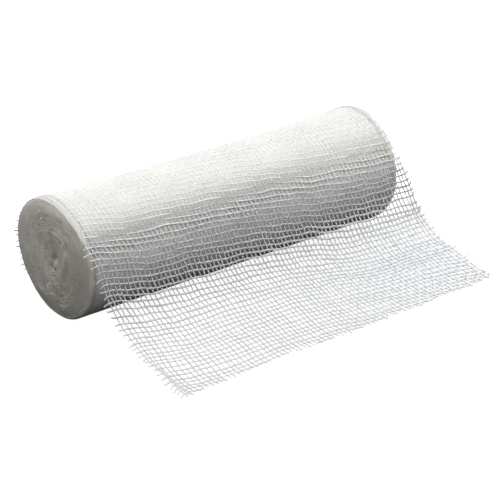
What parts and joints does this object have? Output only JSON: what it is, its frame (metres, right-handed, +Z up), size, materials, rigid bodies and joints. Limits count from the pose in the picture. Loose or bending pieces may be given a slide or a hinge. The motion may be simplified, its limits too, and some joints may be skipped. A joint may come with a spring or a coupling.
{
  "type": "gauze bandage roll",
  "caption": "Roll of open-weave cotton gauze bandage lying on its side, its loose end drawn out in front and down on the ground.",
  "frame": {"origin": "centre of the small flat spot under the roll, on the ground", "axes": "+X along the roll's axis, +Z up; the loose end runs out towards -Y"},
  "size_m": [0.1019, 0.0707, 0.0315],
  "materials": {
    "wound_cotton": "matt bleached cotton gauze, many layers wound tight",
    "loose_cotton": "matt bleached cotton gauze, a single open layer"
  },
  "bodies": {
    "root": {"gauze_roll": "wound_cotton", "loose_end": "loose_cotton"}
  },
  "joints": []
}
